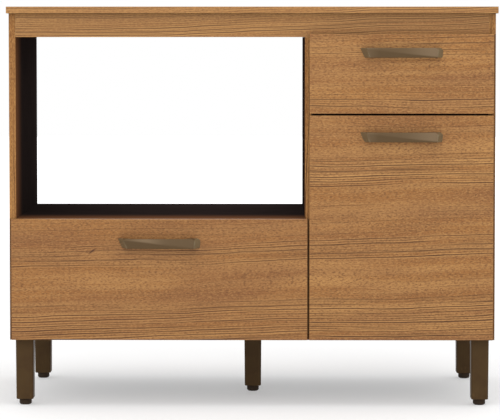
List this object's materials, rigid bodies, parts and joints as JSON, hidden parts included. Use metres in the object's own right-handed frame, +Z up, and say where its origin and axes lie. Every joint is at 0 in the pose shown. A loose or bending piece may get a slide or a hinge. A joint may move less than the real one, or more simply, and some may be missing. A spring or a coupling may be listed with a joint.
{
  "type": "cooktop base cabinet",
  "caption": "Flat-pack kitchen base cabinet for a drop-in hob, with an open niche, a wide drawer, a small drawer and a door, on tapered legs with levelling feet.",
  "frame": {"origin": "floor level, middle of the overall box in X and Y", "axes": "+X to the right seen from the front, +Y to the back, +Z up; the fronts face -Y"},
  "size_m": [1.1, 0.5444, 0.9],
  "materials": {
    "bolt_steel": "zinc-plated steel",
    "bumper_rubber": "soft clear rubber",
    "cam_zinc": "cast zinc, dull",
    "drawer_wood": "thin wood-grain film on fibreboard",
    "foot_plastic": "moulded nylon foot",
    "front_wood": "satin wood-grain melamine on particle board, grain across, bound edges",
    "handle_bronze": "satin bronze lacquer on cast metal",
    "hardboard": "thin hardboard, printed on the inner face",
    "hinge_nickel": "nickel-plated pressed steel",
    "inner_wood": "dark wood-grain melamine with a bound front edge",
    "leg_brown": "satin bronze-brown moulded leg",
    "rail_wood": "satin wood-grain melamine, grain across",
    "side_wood": "satin wood-grain melamine, grain upright, dark on the inner faces",
    "slide_zinc": "zinc-plated rolled steel",
    "top_wood": "satin wood-grain melamine on particle board, grain across"
  },
  "bodies": {
    "carcass": {"back_panel_left": "hardboard", "back_panel_right": "hardboard", "back_rail": "inner_wood", "base_board": "inner_wood", "bumpers": "bumper_rubber", "cam_locks": "cam_zinc", "divider_rail": "inner_wood", "front_rail": "rail_wood", "hinge_arm_lower": "hinge_nickel", "hinge_arm_upper": "hinge_nickel", "hinge_plates": "hinge_nickel", "inner_shelf": "inner_wood", "leg_back_left": "leg_brown", "leg_back_right": "leg_brown", "leg_centre": "leg_brown", "leg_front_left": "leg_brown", "leg_front_right": "leg_brown", "niche_shelf": "inner_wood", "partition": "side_wood", "shelf_pins": "bolt_steel", "side_left": "side_wood", "side_right": "side_wood", "small_slide_outer_left": "slide_zinc", "small_slide_outer_right": "slide_zinc", "top_board": "top_wood", "wide_slide_outer_left": "slide_zinc", "wide_slide_outer_right": "slide_zinc"},
    "door": {"door_handle": "handle_bronze", "door_handle_screws": "bolt_steel", "door_panel": "front_wood", "hinge_cup_lower": "hinge_nickel", "hinge_cup_upper": "hinge_nickel", "hinge_pins": "hinge_nickel"},
    "foot_back_left": {"foot_back_left": "foot_plastic"},
    "foot_back_right": {"foot_back_right": "foot_plastic"},
    "foot_centre": {"foot_centre": "foot_plastic"},
    "foot_front_left": {"foot_front_left": "foot_plastic"},
    "foot_front_right": {"foot_front_right": "foot_plastic"},
    "small_drawer": {"small_drawer_back": "drawer_wood", "small_drawer_bottom": "hardboard", "small_drawer_front": "front_wood", "small_drawer_handle": "handle_bronze", "small_drawer_handle_screws": "bolt_steel", "small_drawer_side_left": "drawer_wood", "small_drawer_side_right": "drawer_wood", "small_slide_inner_left": "slide_zinc", "small_slide_inner_right": "slide_zinc"},
    "small_slide_middles": {"small_slide_middle_left": "slide_zinc", "small_slide_middle_right": "slide_zinc"},
    "wide_drawer": {"wide_drawer_back": "drawer_wood", "wide_drawer_bottom": "hardboard", "wide_drawer_front": "front_wood", "wide_drawer_handle": "handle_bronze", "wide_drawer_handle_screws": "bolt_steel", "wide_drawer_side_left": "drawer_wood", "wide_drawer_side_right": "drawer_wood", "wide_slide_inner_left": "slide_zinc", "wide_slide_inner_right": "slide_zinc"},
    "wide_slide_middles": {"wide_slide_middle_left": "slide_zinc", "wide_slide_middle_right": "slide_zinc"}
  },
  "joints": [
    {"name": "wide_drawer_pull", "type": "slide", "parent": "carcass", "child": "wide_drawer", "axis": [0, -1, 0], "range_m": [0, 0.43]},
    {"name": "wide_slide_follow", "type": "slide", "parent": "carcass", "child": "wide_slide_middles", "axis": [0, -1, 0], "range_m": [0, 0.215]},
    {"name": "small_drawer_pull", "type": "slide", "parent": "carcass", "child": "small_drawer", "axis": [0, -1, 0], "range_m": [0, 0.43]},
    {"name": "small_slide_follow", "type": "slide", "parent": "carcass", "child": "small_slide_middles", "axis": [0, -1, 0], "range_m": [0, 0.215]},
    {"name": "door_swing", "type": "hinge", "parent": "carcass", "child": "door", "pos_m": [0.5341, -0.23925, 0.404], "axis": [0, 0, 1], "range_deg": [0, 95]},
    {"name": "foot_turn_front_left", "type": "hinge", "parent": "carcass", "child": "foot_front_left", "pos_m": [-0.5145, -0.19775, 0], "axis": [0, 0, 1], "continuous": true},
    {"name": "foot_turn_front_right", "type": "hinge", "parent": "carcass", "child": "foot_front_right", "pos_m": [0.5145, -0.19775, 0], "axis": [0, 0, 1], "continuous": true},
    {"name": "foot_turn_back_left", "type": "hinge", "parent": "carcass", "child": "foot_back_left", "pos_m": [-0.5145, 0.23825, 0], "axis": [0, 0, 1], "continuous": true},
    {"name": "foot_turn_back_right", "type": "hinge", "parent": "carcass", "child": "foot_back_right", "pos_m": [0.5145, 0.23825, 0], "axis": [0, 0, 1], "continuous": true},
    {"name": "foot_turn_centre", "type": "hinge", "parent": "carcass", "child": "foot_centre", "pos_m": [0, 0.02025, 0], "axis": [0, 0, 1], "continuous": true}
  ],
  "couplings": [
    {"joint": "wide_slide_follow", "follows": "wide_drawer_pull", "ratio": 0.5},
    {"joint": "small_slide_follow", "follows": "small_drawer_pull", "ratio": 0.5}
  ]
}
